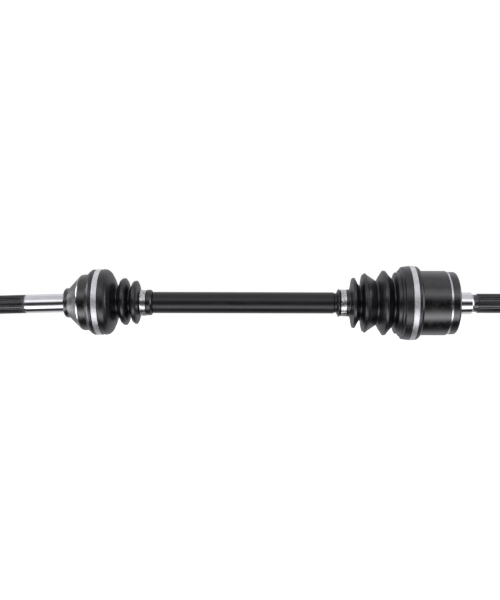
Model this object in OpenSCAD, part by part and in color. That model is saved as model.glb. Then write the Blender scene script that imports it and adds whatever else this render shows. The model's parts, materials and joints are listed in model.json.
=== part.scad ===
// Half shaft for a light off-road vehicle: a bar with a fixed ball joint at the wheel end
// and a plunging ball joint at the gearbox end, each sealed by a clamped rubber boot.
// Millimetres. +X runs along the bar towards the gearbox and +Z is up.
// The origin is on the bar's axis, halfway along its full-diameter stretch.

/* [Bar] */
// Diameter of the solid bar between the boots
bar_d = 25.4; // [24.6:0.1:27]
// Length of the full-diameter stretch between the boots
bar_len = 217.2; // [120:0.1:420]
// Diameter of the land that each boot's small end sits on
boot_seat_d = 23.4; // [22.8:0.1:23.8]
// Diameter of the slimmer bar inside the boots
neck_d = 21; // [19:0.1:21.4]
// Diameter over the bar's spline teeth, inside the inner races
race_spline_d = 22; // [21.4:0.1:22.4]
// Number of teeth on the bar's splines
race_spline_teeth = 26; // [20:1:30]

/* [Balls and cages] */
// Diameter of every ball
ball_d = 14.288; // [14.1:0.001:14.3]
// Room between a ball and the bottom of its tracks
track_gap = 0.3; // [0.3:0.01:0.34]
// Room between the ball cages, the inner races and the cups
cage_gap = 0.2; // [0.15:0.01:0.25]
// Half the width of each cage and each inner race along the bar
race_half = 10; // [9.8:0.1:10.2]

/* [Wheel-end joint] */
// Distance from the end of the bar's full diameter to the wheel-end joint's centre
out_reach = 72.4; // [72:0.1:78]
// Angle in degrees at which the wheel-end joint rests, stub end down
rest_tilt = 1.6; // [0:0.1:2.4]
// Radius of the circle that the balls sit on
out_pitch_r = 22.6; // [22.5:0.1:22.8]
// Outer diameter of the bell
bell_d = 67; // [66.6:0.1:68]
// Diameter of the land that the boot's large end sits on
out_land_d = 71; // [70.6:0.1:71.4]
// Diameter of the hub-side rim behind the bell
rim_d = 35.4; // [34:0.1:36.5]

/* [Wheel-end stub] */
// Diameter of the ground bearing journal
out_journal_d = 22; // [22:0.1:24]
// Length of the ground bearing journal
out_journal_len = 46.5; // [30:0.5:60]
// Length of the hub spline
out_spline_len = 50; // [30:0.5:60]
// Number of teeth on the hub spline
out_spline_teeth = 27; // [20:1:30]
// Thread diameter for the hub nut
thread_d = 20; // [18:0.5:20]
// Thread length for the hub nut
thread_len = 22; // [16:0.5:30]

/* [Gearbox-end joint] */
// Distance from the end of the bar's full diameter to the gearbox-end joint's centre
in_reach = 107.5; // [107.3:0.1:107.8]
// Radius of the circle that the balls sit on
in_pitch_r = 27.2; // [27:0.1:27.4]
// Outer diameter of the cup
cup_d = 77.4; // [77.2:0.1:77.8]
// Diameter of the cup's closed end, past its machined groove
cup_end_d = 75; // [74:0.1:76]

/* [Gearbox-end stub] */
// Diameter of the seal journal
in_journal_d = 25.6; // [25:0.1:27]
// Length of the seal journal
in_journal_len = 19.3; // [15:0.1:25]
// Diameter over the teeth of the gearbox spline
in_spline_d = 23; // [22:0.1:23.4]
// Length of the gearbox spline
in_spline_len = 41; // [30:0.1:60]
// Number of teeth on the gearbox spline
in_spline_teeth = 24; // [20:1:30]

/* [Clamps] */
// Thickness of the clamp bands
band_t = 0.9; // [0.8:0.1:1]
// Width of the two large clamp bands
large_band_w = 6.4; // [5:0.1:6.6]
// Width of the two small clamp bands
small_band_w = 6.6; // [5:0.1:6.8]

/* [Hidden] */
$fn = 96;
fit_gap = 0.1;

bar_half = bar_len / 2;
out_x = -bar_half - out_reach;
in_x = bar_half + in_reach;
ball_r = ball_d / 2;
seat_r = boot_seat_d / 2;
neck_r = neck_d / 2;

// The six balls, tracks and windows of a joint stand 60 degrees apart, the first towards +Y.
ball_angles = [0, 60, 120, 180, 240, 300];

// Wheel-end joint. Its cage runs between two spheres around the joint's centre.
out_race_r = 21.7;
out_cage_in_r = out_race_r + cage_gap;
out_cage_r = 26;
out_bore_r = out_cage_r + cage_gap;
out_relief = 0.8;
out_floor = 19.4;
out_mouth = 12;
out_track_end = 35.6;
out_land_r = out_land_d / 2;
bell_r = bell_d / 2;
rim_r = rim_d / 2;
rim_face = 32;
out_journal_r = out_journal_d / 2;
out_spline_root_r = out_journal_r - 1.1;
out_spline_x = -rim_face - out_journal_len;
thread_x = out_spline_x - out_spline_len;
out_end_x = thread_x - thread_len - 2;

// Gearbox-end joint. Its cage slides in a plain bore with straight tracks.
in_race_r = 24.9;
in_cage_in_r = in_race_r + cage_gap;
in_cage_r = 29.4;
in_bore_r = in_cage_r + cage_gap;
in_relief = 0.3;
cup_r = cup_d / 2;
cup_end_r = cup_end_d / 2;
in_mouth = bar_half + 78.9;
in_floor = bar_half + 137.4;
in_track_end = in_floor - 2.5;
cup_end = bar_half + 144.3;
in_ring_x = in_mouth + 3;
in_ring_wire_r = 1;
in_ring_r = in_bore_r + 0.4;
in_journal_r = in_journal_d / 2;
in_neck_r = 10.3;
in_neck_x = cup_end + in_journal_len;
in_spline_x = in_neck_x + 7;
in_spline_r = in_spline_d / 2;
in_end_x = in_spline_x + in_spline_len;
stub_clip_x = in_end_x - 6;

// Clamp positions along X: the wheel-end ones from the joint's centre, the others from the origin.
out_large_clamp_x = 9.6;
out_large_seat_r = 38.4;
out_small_clamp_x = -bar_half - 10.9;
out_small_seat_r = 14;
in_large_clamp_x = bar_half + 91.2;
in_large_seat_r = 43.8;
in_small_clamp_x = bar_half + 10.8;
in_small_seat_r = 15.1;

// ---- Shared shapes ----

// A solid turned about the X axis from [x, radius] points.
module turned(points) {
    rotate([0, 90, 0])
        rotate_extrude()
            polygon([for (p = points) [p[1], p[0]]]);
}

// A tube from x0 to x1.
module ring(x0, x1, r_in, r_out) {
    turned([[x0, r_in], [x0, r_out], [x1, r_out], [x1, r_in]]);
}

// Points of a quarter-round corner, as [x, radius], around a centre.
function corner(x, r, size, from, to) =
    [for (k = [0:4]) [x + size * cos(from + (to - from) * k / 4), r + size * sin(from + (to - from) * k / 4)]];

// The outline of a spline: straight-sided teeth between a root and a tip radius.
module spline_outline(tip_r, root_r, teeth) {
    pitch = 360 / teeth;
    polygon([
        for (k = [0:teeth - 1])
            for (side = [[root_r, -0.32], [tip_r, -0.18], [tip_r, 0.18], [root_r, 0.32]])
                [side[0] * cos(pitch * (k + side[1])), side[0] * sin(pitch * (k + side[1]))]
    ]);
}

module spline(x0, x1, tip_r, root_r, teeth) {
    translate([x0, 0, 0])
        rotate([0, 90, 0])
            linear_extrude(x1 - x0)
                spline_outline(tip_r, root_r, teeth);
}

// A curved track around the joint's centre, in the plane of X and Y, on the +Y side.
// It reaches from back degrees behind the centre plane to front degrees ahead of it.
// The groove is rounder than the ball by relief, which gives the ball its side play.
module curved_track(centre_r, relief, back, front) {
    rotate([0, 0, 90 - front])
        rotate_extrude(angle = front + back)
            translate([centre_r, 0])
                circle(ball_r + track_gap + relief);
}

// A sphere with its poles along X.
module globe(r) {
    rotate([0, 90, 0])
        sphere(r);
}

// A sphere cut flat at both sides, half_w from the middle along X.
module ball_slice(r, half_w) {
    intersection() {
        globe(r);
        translate([-half_w, -r - 1, -r - 1])
            cube([2 * half_w, 2 * r + 2, 2 * r + 2]);
    }
}

// A cage window: a rectangle with eased corners, cut outwards along +Y.
module window(half_x, half_z, depth) {
    ease = 2;
    rotate([-90, 0, 0])
        linear_extrude(depth)
            polygon([
                for (quarter = [0:3])
                    for (k = [0:3])
                        let (
                            angle = 90 * quarter + 30 * k,
                            side_x = quarter == 0 || quarter == 3 ? 1 : -1,
                            side_z = quarter < 2 ? 1 : -1
                        )
                        [side_x * (half_x - ease) + ease * cos(angle), side_z * (half_z - ease) + ease * sin(angle)]
            ]);
}

module cage(inner_r, outer_r) {
    difference() {
        ball_slice(outer_r, race_half);
        globe(inner_r);
        for (a = ball_angles)
            rotate([a, 0, 0])
                translate([0, inner_r - 8, 0])
                    window(ball_r + fit_gap, ball_r + 1.2, 20);
    }
}

module inner_race(outer_r, pitch_r, relief) {
    difference() {
        ball_slice(outer_r, race_half);
        for (a = ball_angles)
            rotate([a, 0, 0])
                curved_track(pitch_r + relief, relief, 42, 42);
        spline(-race_half - 1, race_half + 1, race_spline_d / 2 + fit_gap,
            race_spline_d / 2 - 1.1 + fit_gap, race_spline_teeth);
    }
}

// An open spring ring that lies across X, with its gap at the top.
module open_ring(x0, x1, r_in, r_out, gap_angle) {
    translate([x0, 0, 0])
        rotate([0, 90, 0])
            rotate([0, 0, 180 + gap_angle / 2])
                rotate_extrude(angle = 360 - gap_angle)
                    translate([r_in, 0])
                        square([r_out - r_in, x1 - x0]);
}

// A clamp band with a crimped ear, standing out at an angle about X from +Y towards +Z.
module ear_clamp(x, seat_r, width, ear_angle, ear_w, ear_h) {
    outer_r = seat_r + band_t;
    difference() {
        union() {
            ring(x - width / 2, x + width / 2, seat_r, outer_r);
            rotate([ear_angle, 0, 0])
                translate([x - width / 2 + 0.4, outer_r - 1, 0])
                    ear(width - 0.8, ear_w, ear_h + 1);
        }
        translate([x - width / 2 - 1, 0, 0])
            rotate([0, 90, 0])
                cylinder(h = width + 2, r = seat_r);
    }
}

// The ear itself: a low block with a rounded top that stands along +Y.
module ear(length, width, height) {
    round_r = height / 2;
    translate([0, -1, -width / 2])
        cube([length, height - round_r + 1, width]);
    translate([0, 0, -width / 2 + round_r])
        cube([length, height, width - 2 * round_r]);
    for (side = [-1, 1])
        translate([0, height - round_r, side * (width / 2 - round_r)])
            rotate([0, 90, 0])
                cylinder(h = length, r = round_r);
}

// ---- Where the joints stand ----

// Places what is fixed to the wheel-end cup, which rests tilted about the joint's centre.
module on_outboard_cup() {
    translate([out_x, 0, 0])
        rotate([0, -rest_tilt, 0])
            children();
}

// Places the cage and balls, which always stand halfway between the bar and the cup.
module on_outboard_cage() {
    translate([out_x, 0, 0])
        rotate([0, -rest_tilt / 2, 0])
            children();
}

module on_inboard_joint() {
    translate([in_x, 0, 0])
        children();
}

// ---- Bar ----

module shaft_bar() {
    spline_r = race_spline_d / 2;
    root_r = spline_r - 1.1;
    tail = race_half + 3;
    color([0.09, 0.09, 0.1])
        difference() {
            union() {
                turned([
                    [out_x - tail, 0],
                    [out_x - tail, root_r - 1],
                    [out_x - tail + 1, root_r],
                    [out_x + race_half, root_r],
                    [out_x + race_half, 12.6],
                    [out_x + tail, 12.6],
                    [out_x + tail + 3, neck_r],
                    [-bar_half - 20, neck_r],
                    [-bar_half - 18.5, seat_r],
                    [-bar_half, seat_r],
                    [-bar_half + 1.2, bar_d / 2],
                    [bar_half - 1.2, bar_d / 2],
                    [bar_half, seat_r],
                    [bar_half + 18.5, seat_r],
                    [bar_half + 20, neck_r],
                    [in_x - tail - 3, neck_r],
                    [in_x - tail, 12.6],
                    [in_x - race_half, 12.6],
                    [in_x - race_half, root_r],
                    [in_x + tail - 1, root_r],
                    [in_x + tail, root_r - 1],
                    [in_x + tail, 0]
                ]);
                spline(out_x - tail + 1, out_x + race_half + 1, spline_r, root_r - 0.5, race_spline_teeth);
                spline(in_x - race_half - 1, in_x + tail - 1, spline_r, root_r - 0.5, race_spline_teeth);
            }
            ring(out_x - race_half - 1.7, out_x - race_half - 0.1, root_r - 0.6, spline_r + 1);
            ring(in_x + race_half + 0.1, in_x + race_half + 1.7, root_r - 0.6, spline_r + 1);
        }
}

// ---- Wheel-end joint ----

module outboard_cup() {
    chamfer = 1.5;
    color([0.1, 0.1, 0.11])
        on_outboard_cup()
            difference() {
                union() {
                    turned(concat(
                        [
                            [out_end_x, 0],
                            [out_end_x, thread_d / 2 - chamfer],
                            [out_end_x + chamfer, thread_d / 2],
                            [thread_x - 2, thread_d / 2],
                            [thread_x - 2, thread_d / 2 - 1.2],
                            [thread_x, thread_d / 2 - 1.2],
                            [thread_x + 1.2, out_spline_root_r],
                            [out_spline_x - 0.4, out_spline_root_r],
                            [out_spline_x - 0.4, out_journal_r - 0.4],
                            [out_spline_x, out_journal_r],
                            [-rim_face, out_journal_r],
                            [-rim_face, rim_r - 4.5]
                        ],
                        corner(-rim_face + 4.5, rim_r - 4.5, 4.5, 180, 90),
                        [
                            [-26.4, rim_r],
                            [-12.9, bell_r - 1.9],
                            [-12.2, bell_r - 1.3],
                            [-10.8, bell_r - 0.4],
                            [-9, bell_r],
                            [-0.8, bell_r],
                            [-0.8, out_land_r],
                            [out_mouth - 1, out_land_r],
                            [out_mouth, out_land_r - 1],
                            [out_mouth, 0]
                        ]
                    ));
                    spline(thread_x + 1.2, out_spline_x - 0.4, out_journal_r, out_spline_root_r - 0.5,
                        out_spline_teeth);
                }
                intersection() {
                    globe(out_bore_r);
                    translate([-out_floor, -40, -40])
                        cube([80, 80, 80]);
                }
                turned([[7.5, 0], [7.5, 24.4], [out_mouth + 1, 31.2], [out_mouth + 1, 0]]);
                for (a = ball_angles)
                    rotate([a, 0, 0])
                        curved_track(out_pitch_r - out_relief, out_relief, out_track_end, 40);
                ring(out_large_clamp_x - 1.6, out_large_clamp_x + 1.6, out_land_r - 0.8, out_land_r + 1);
            }
}

module outboard_inner_race() {
    color([0.62, 0.63, 0.65])
        translate([out_x, 0, 0])
            inner_race(out_race_r, out_pitch_r, out_relief);
}

module outboard_cage() {
    color([0.5, 0.5, 0.52])
        on_outboard_cage()
            cage(out_cage_in_r, out_cage_r);
}

module outboard_race_circlip() {
    color([0.3, 0.3, 0.32])
        translate([out_x, 0, 0])
            open_ring(-race_half - 1.6, -race_half - 0.2, 9.4, 12.2, 50);
}

module outboard_ball(number) {
    color([0.8, 0.8, 0.82])
        on_outboard_cage()
            rotate([ball_angles[number - 1], 0, 0])
                translate([0, out_pitch_r, 0])
                    sphere(ball_r);
}

module outboard_boot() {
    color([0.05, 0.05, 0.055]) {
        on_outboard_cup()
            turned([
                [-2, bell_r + fit_gap],
                [-2, 35.4],
                [0.4, 37.6],
                [2.2, 38.8],
                [3.4, 39.1],
                [5, 39.1],
                [5.8, 38.3],
                [13.4, 38.3],
                [14.4, 39],
                [16, 39.3],
                [19.6, 38.7],
                [21.9, 37],
                [24, 34],
                [25.6, 31],
                [27.2, 26.9],
                [28.8, 22.6],
                [30.1, 19.8],
                [30.1, 16.3],
                [26.6, 20.8],
                [24.4, 26.6],
                [22.2, 32],
                [20, 35.4],
                [16, 36.4],
                [12.4, 35.8],
                [12.4, out_land_r + fit_gap],
                [out_large_clamp_x + 1.5, out_land_r + fit_gap],
                [out_large_clamp_x + 1.5, out_land_r - 0.7],
                [out_large_clamp_x - 1.5, out_land_r - 0.7],
                [out_large_clamp_x - 1.5, out_land_r + fit_gap],
                [-0.9, out_land_r + fit_gap],
                [-0.9, bell_r + fit_gap]
            ]);
        on_outboard_cage()
            ring(28.8, 33.2, 17.5, 18.3);
        translate([out_x, 0, 0])
            turned([
                [31.9, 16.2],
                [31.9, 19.7],
                [33.4, 20.6],
                [35, 24.8],
                [36.4, 26.8],
                [38, 27.6],
                [39.8, 27.6],
                [41.4, 26.8],
                [42.8, 23.9],
                [44.8, 17.6],
                [45.6, 17.1],
                [46.4, 17.6],
                [47.8, 21.6],
                [49.2, 24.6],
                [50.4, 25.3],
                [53, 25.2],
                [54.4, 24.2],
                [55.8, 18.6],
                [57, 15],
                [57.8, 13.9],
                [65.2, 13.9],
                [65.8, 15.2],
                [70.4, 15.3],
                [71.6, 14.4],
                [72, 13.2],
                [72, seat_r + fit_gap],
                [55.6, seat_r + fit_gap],
                [54.4, 16.4],
                [52.6, 22.6],
                [50.6, 22.6],
                [48.2, 16.8],
                [46.6, 14.8],
                [44.6, 14.8],
                [42.4, 19.6],
                [41, 24.8],
                [37.4, 24.8],
                [35.2, 19.6]
            ]);
    }
}

module outboard_clamp_large() {
    color([0.78, 0.79, 0.8])
        on_outboard_cup()
            ear_clamp(out_large_clamp_x, out_large_seat_r, large_band_w, 25, 11, 2.6);
}

module outboard_clamp_small() {
    color([0.78, 0.79, 0.8])
        ear_clamp(out_small_clamp_x, out_small_seat_r, small_band_w, 262, 6.4, 1.6);
}

// ---- Gearbox-end joint ----

module inboard_cup() {
    color([0.1, 0.1, 0.11])
        difference() {
            union() {
                turned(concat(
                    [
                        [in_mouth, 0],
                        [in_mouth, cup_r - 1],
                        [in_mouth + 1, cup_r],
                        [cup_end - 12.2, cup_r],
                        [cup_end - 11.3, cup_end_r - 0.6],
                        [cup_end - 9.9, cup_end_r - 0.6],
                        [cup_end - 9.2, cup_end_r]
                    ],
                    corner(cup_end - 3, cup_end_r - 3, 3, 90, 0),
                    [
                        [cup_end, in_journal_r],
                        [in_neck_x, in_journal_r],
                        [in_neck_x + 2.4, in_neck_r],
                        [in_spline_x, in_neck_r],
                        [in_end_x, in_neck_r],
                        [in_end_x, 0]
                    ]
                ));
                intersection() {
                    spline(in_spline_x, in_end_x, in_spline_r, in_neck_r - 0.5, in_spline_teeth);
                    turned([
                        [in_spline_x - 1, 0],
                        [in_spline_x, in_neck_r],
                        [in_spline_x + 1.2, in_spline_r + 0.1],
                        [in_end_x - 1.5, in_spline_r + 0.1],
                        [in_end_x, in_neck_r - 0.2],
                        [in_end_x, 0]
                    ]);
                }
            }
            turned([[in_mouth - 1, 0], [in_mouth - 1, in_bore_r], [in_floor, in_bore_r], [in_floor, 0]]);
            turned([[in_mouth - 1, 0], [in_mouth - 1, 34.2], [in_mouth + 1.2, 32], [in_mouth + 1.2, 0]]);
            for (a = ball_angles)
                rotate([a, 0, 0])
                    translate([in_mouth - 1, in_pitch_r - in_relief, 0])
                        rotate([0, 90, 0])
                            cylinder(h = in_track_end - in_mouth + 1, r = ball_r + track_gap + in_relief);
            translate([in_ring_x, 0, 0])
                rotate([0, 90, 0])
                    rotate_extrude()
                        translate([in_ring_r, 0])
                            circle(in_ring_wire_r + fit_gap);
            ring(in_large_clamp_x - 1.6, in_large_clamp_x + 1.6, cup_r - 0.8, cup_r + 1);
            ring(stub_clip_x - 1, stub_clip_x + 1, in_spline_r - 1.5, in_spline_r + 1);
        }
}

module inboard_inner_race() {
    color([0.62, 0.63, 0.65])
        on_inboard_joint()
            inner_race(in_race_r, in_pitch_r, in_relief);
}

module inboard_cage() {
    color([0.5, 0.5, 0.52])
        on_inboard_joint()
            cage(in_cage_in_r, in_cage_r);
}

module inboard_race_circlip() {
    color([0.3, 0.3, 0.32])
        on_inboard_joint()
            open_ring(race_half + 0.2, race_half + 1.6, 9.4, 12.2, 50);
}

module inboard_ball(number) {
    color([0.8, 0.8, 0.82])
        on_inboard_joint()
            rotate([ball_angles[number - 1], 0, 0])
                translate([0, in_pitch_r, 0])
                    sphere(ball_r);
}

module inboard_boot() {
    color([0.05, 0.05, 0.055])
        translate([bar_half, 0, 0])
            turned([
                [2.8, seat_r + fit_gap],
                [2.8, 12.6],
                [4.4, 16.4],
                [5.4, 17.1],
                [6.6, 15.9],
                [7.2, 15],
                [14.4, 15],
                [15, 16.2],
                [18.4, 16.5],
                [20, 20],
                [21.6, 28.2],
                [22.6, 30],
                [24.6, 30.1],
                [25.8, 28.6],
                [28.6, 22.2],
                [30, 21.2],
                [31.4, 22],
                [33.6, 32.2],
                [34.6, 34.8],
                [36.2, 35.1],
                [38, 34],
                [47.2, 28.2],
                [49.8, 26.8],
                [51.4, 28.2],
                [55.8, 36.6],
                [57.6, 38.6],
                [60, 38.6],
                [62, 36.8],
                [69, 30],
                [70, 30.2],
                [71.8, 35],
                [73.2, 36.6],
                [75.6, 36.8],
                [77, 38],
                [78.2, 41.4],
                [80, 43.2],
                [84, 43.8],
                [87.4, 43.8],
                [88, 43.7],
                [94.6, 43.7],
                [95.2, 43.9],
                [98, 43.6],
                [99.6, 42.2],
                [100.4, 40],
                [100.4, cup_r + fit_gap],
                [in_large_clamp_x - bar_half + 1.5, cup_r + fit_gap],
                [in_large_clamp_x - bar_half + 1.5, cup_r - 0.7],
                [in_large_clamp_x - bar_half - 1.5, cup_r - 0.7],
                [in_large_clamp_x - bar_half - 1.5, cup_r + fit_gap],
                [78.7, cup_r + fit_gap],
                [78.7, 37.6],
                [75.6, 34.6],
                [73.4, 34.4],
                [70.4, 27.4],
                [68, 27.4],
                [60, 35.4],
                [57.6, 35.2],
                [52, 24.4],
                [48, 24.4],
                [37, 31.6],
                [35.2, 31.4],
                [32, 19],
                [28.4, 19],
                [24.2, 27],
                [23.2, 26.8],
                [21.8, 18],
                [19.6, 14],
                [17, seat_r + fit_gap]
            ]);
}

module inboard_clamp_large() {
    color([0.78, 0.79, 0.8])
        ear_clamp(in_large_clamp_x, in_large_seat_r, large_band_w, 25, 11, 2.6);
}

module inboard_clamp_small() {
    color([0.78, 0.79, 0.8])
        ear_clamp(in_small_clamp_x, in_small_seat_r, small_band_w, 236, 6.4, 1.6);
}

module inboard_retaining_ring() {
    gap_angle = 24;
    color([0.45, 0.45, 0.47])
        translate([in_ring_x, 0, 0])
            rotate([0, 90, 0])
                rotate([0, 0, 180 + gap_angle / 2])
                    rotate_extrude(angle = 360 - gap_angle)
                        translate([in_ring_r, 0])
                            circle(in_ring_wire_r);
}

module inboard_stub_circlip() {
    color([0.3, 0.3, 0.32])
        open_ring(stub_clip_x - 0.8, stub_clip_x + 0.8, in_spline_r - 1.4, in_spline_r + 0.5, 30);
}

// ---- What is drawn ----

shaft_bar();
outboard_cup();
outboard_inner_race();
outboard_cage();
outboard_race_circlip();
outboard_ball(1);  // outboard_ball_1
outboard_ball(2);  // outboard_ball_2
outboard_ball(3);  // outboard_ball_3
outboard_ball(4);  // outboard_ball_4
outboard_ball(5);  // outboard_ball_5
outboard_ball(6);  // outboard_ball_6
outboard_boot();
outboard_clamp_large();
outboard_clamp_small();
inboard_cup();
inboard_inner_race();
inboard_cage();
inboard_race_circlip();
inboard_ball(1);  // inboard_ball_1
inboard_ball(2);  // inboard_ball_2
inboard_ball(3);  // inboard_ball_3
inboard_ball(4);  // inboard_ball_4
inboard_ball(5);  // inboard_ball_5
inboard_ball(6);  // inboard_ball_6
inboard_boot();
inboard_clamp_large();
inboard_clamp_small();
inboard_retaining_ring();
inboard_stub_circlip();
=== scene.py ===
"""The looks of a half shaft with two ball joints: turned and splined stubs, rubber boots and clamp bands."""

import json
import math

import bmesh
import bpy
from mathutils import Matrix, Vector

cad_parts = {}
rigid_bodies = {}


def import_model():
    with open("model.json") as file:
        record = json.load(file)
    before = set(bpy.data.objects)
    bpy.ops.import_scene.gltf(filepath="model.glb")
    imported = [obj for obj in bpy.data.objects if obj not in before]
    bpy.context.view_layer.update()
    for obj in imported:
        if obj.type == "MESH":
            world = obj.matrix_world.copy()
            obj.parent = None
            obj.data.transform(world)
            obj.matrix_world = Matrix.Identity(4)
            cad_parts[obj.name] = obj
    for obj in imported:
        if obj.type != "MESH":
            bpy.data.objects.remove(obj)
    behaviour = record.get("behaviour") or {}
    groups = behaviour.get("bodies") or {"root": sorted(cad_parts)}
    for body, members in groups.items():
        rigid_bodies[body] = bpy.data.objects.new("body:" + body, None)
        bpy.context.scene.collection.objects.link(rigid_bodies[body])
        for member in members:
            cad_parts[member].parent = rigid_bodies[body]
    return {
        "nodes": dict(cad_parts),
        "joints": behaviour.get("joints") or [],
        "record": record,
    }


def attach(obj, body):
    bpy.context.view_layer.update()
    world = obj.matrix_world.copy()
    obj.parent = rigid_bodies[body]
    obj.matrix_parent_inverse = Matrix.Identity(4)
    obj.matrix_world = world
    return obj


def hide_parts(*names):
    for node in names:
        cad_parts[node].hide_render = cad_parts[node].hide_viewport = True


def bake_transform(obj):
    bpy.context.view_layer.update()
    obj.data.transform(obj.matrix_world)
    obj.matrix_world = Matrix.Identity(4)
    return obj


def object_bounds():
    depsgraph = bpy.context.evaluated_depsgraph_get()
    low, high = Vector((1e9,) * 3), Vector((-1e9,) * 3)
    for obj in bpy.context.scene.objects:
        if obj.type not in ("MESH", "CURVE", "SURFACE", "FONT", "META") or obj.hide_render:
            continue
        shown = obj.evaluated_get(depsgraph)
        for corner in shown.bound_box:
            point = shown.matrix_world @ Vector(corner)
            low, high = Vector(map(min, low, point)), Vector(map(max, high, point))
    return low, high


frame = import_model()
cad_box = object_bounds()

# ---- Places and driving sizes: millimetres, turned about X, read from the frame where it has them ----

MM = 0.001
JOINTS = {joint["name"]: joint for joint in frame["joints"]}
MOUNTS = {mount["name"]: mount for mount in frame["record"]["mounts"]}
OUT_CENTRE = Vector(JOINTS["outboard_pitch"]["pos_m"])
IN_CENTRE = Vector(JOINTS["inboard_pitch"]["pos_m"])
CUP_UP = Vector(JOINTS["outboard_cup_yaw"]["axis"])
REST_TILT = math.atan2(-CUP_UP.x, CUP_UP.z)
ON_OUT_CUP = Matrix.Translation(OUT_CENTRE) @ Matrix.Rotation(-REST_TILT, 4, "Y")
AT_ORIGIN = Matrix.Identity(4)

# Half the painted length of the bar, and the gearbox-end joint centre measured from its shoulder.
IN_CENTRE_ALONG = 107.5
BAR_HALF = JOINTS["inboard_pitch"]["pos_m"][0] / MM - IN_CENTRE_ALONG
BALL_R = 7.144
BALLS = 6
# Columns round a turned surface, and the angle from which an edge is drawn sharp.
ROUND = 144
SHARP = math.radians(33)


def dim(mount, size):
    """A driving size of a mount in the record, in millimetres."""
    return MOUNTS[mount]["dims"][size]


# ---- Outlines ----

def outline(corners, closed=False):
    """Points (x, radius) along corners (x, radius, rounding), each corner rounded by an arc of that size."""
    points = []
    count = len(corners)
    for k, corner in enumerate(corners):
        here = Vector(corner[:2])
        size = corner[2] if len(corner) > 2 else 0
        if size == 0 or (not closed and k in (0, count - 1)):
            points.append((here.x, here.y))
            continue
        before = Vector(corners[k - 1][:2]) - here
        after = Vector(corners[(k + 1) % count][:2]) - here
        turn = math.pi - before.angle(after)
        if turn < math.radians(2):
            points.append((here.x, here.y))
            continue
        reach = min(size * math.tan(turn / 2), 0.48 * before.length, 0.48 * after.length)
        start = here + before.normalized() * reach
        end = here + after.normalized() * reach
        inward = (before.normalized() + after.normalized()).normalized()
        centre = here + inward * math.hypot(reach, reach / math.tan(turn / 2))
        steps = max(2, math.ceil(math.degrees(turn) / 11))
        from_centre, to_centre = start - centre, end - centre
        for step in range(steps + 1):
            share = step / steps
            swing = math.sin(turn)
            weights = (math.sin((1 - share) * turn) / swing, math.sin(share * turn) / swing)
            point = centre + from_centre * weights[0] + to_centre * weights[1]
            points.append((point.x, point.y))
    return points


def cut_between(points, low, high):
    """The stretch of an outline, rising in x, from x = low to x = high, with points exactly at both."""
    def radius_at(x):
        for (xa, ra), (xb, rb) in zip(points, points[1:]):
            if xa <= x <= xb and xb > xa:
                return ra + (rb - ra) * (x - xa) / (xb - xa)
        return points[0][1] if x < points[0][0] else points[-1][1]
    inside = [p for p in points if low + 0.02 < p[0] < high - 0.02]
    return [(low, radius_at(low))] + inside + [(high, radius_at(high))]


# ---- Meshes ----

def even_angles(columns=ROUND):
    return [2 * math.pi * k / columns for k in range(columns)]


def finish_mesh(name, verts, faces, marks, looks):
    mesh = bpy.data.meshes.new(name)
    mesh.from_pydata(verts, [], faces)
    for look in looks:
        mesh.materials.append(look)
    mesh.polygons.foreach_set("material_index", marks)
    mesh.validate()
    piece = bpy.data.objects.new(name, mesh)
    bpy.context.scene.collection.objects.link(piece)
    face_outwards(mesh)
    return piece


def face_outwards(mesh):
    bm = bmesh.new()
    bm.from_mesh(mesh)
    bmesh.ops.recalc_face_normals(bm, faces=bm.faces)
    bm.to_mesh(mesh)
    bm.free()
    mesh.shade_smooth()
    mesh.set_sharp_from_angle(angle=SHARP)


def turned(name, rows, looks, angles=None, closed=False, place=AT_ORIGIN, bend=None):
    """A surface turned about X through rows (x, radius or one radius per angle, look number), in millimetres.

    The look number paints the stretch after the row. A closed surface joins its last row to its first.
    bend gives, for each x, the matrix that its ring is moved by."""
    angles = angles or even_angles()
    count = len(angles)
    verts, faces, marks, rings = [], [], [], []
    for x, radius, _ in rows:
        turn = bend(x) if bend else AT_ORIGIN
        first = len(verts)
        if radius == 0:
            verts.append(turn @ Vector((x * MM, 0, 0)))
            rings.append([first] * count)
            continue
        radii = radius if isinstance(radius, list) else [radius] * count
        for angle, r in zip(angles, radii):
            point = Vector((x, r * math.cos(angle), r * math.sin(angle))) * MM
            verts.append(turn @ point)
        rings.append(list(range(first, first + count)))
    pairs = list(zip(range(len(rows)), range(1, len(rows))))
    if closed:
        pairs.append((len(rows) - 1, 0))
    for a, b in pairs:
        for k in range(count):
            after = (k + 1) % count
            face = [rings[a][k], rings[a][after], rings[b][after], rings[b][k]]
            face = list(dict.fromkeys(face))
            if len(face) > 2:
                faces.append(face)
                marks.append(rows[a][2])
    piece = finish_mesh(name, [tuple(v) for v in verts], faces, marks, looks)
    piece.matrix_world = place
    return piece


def rows_of(points, look=0):
    return [(x, r, look) for x, r in points]


def tooth_columns(teeth):
    """Angles of six columns a tooth, and how high up the tooth each stands: 0 at the root, 1 at the tip."""
    phases = ((-0.32, 0), (-0.18, 1), (0, 1), (0.18, 1), (0.32, 0), (0.5, 0))
    angles = [2 * math.pi * (k + phase) / teeth for k in range(teeth) for phase, _ in phases]
    heights = [height for _ in range(teeth) for _, height in phases]
    return angles, heights


def spline_rows(x0, x1, tip, root, heights, look, chamfer, run_out=0, steps=7):
    """Rows of a spline: a chamfer at x0, and at x1 a chamfer too, or a run-out where the grooves rise."""
    def row(x, share, cap):
        floor = tip - (tip - root) * share
        return (x, [min(cap, floor + (tip - floor) * h) for h in heights], look)
    rows = [row(x0, 1, tip - chamfer), row(x0 + chamfer, 1, tip)]
    if run_out:
        rows += [row(x1 - run_out * (1 - k / steps), 1 - (k / steps) ** 2, tip) for k in range(steps + 1)]
    else:
        rows += [row(x1 - chamfer, 1, tip), row(x1, 1, tip - chamfer)]
    return rows


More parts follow.
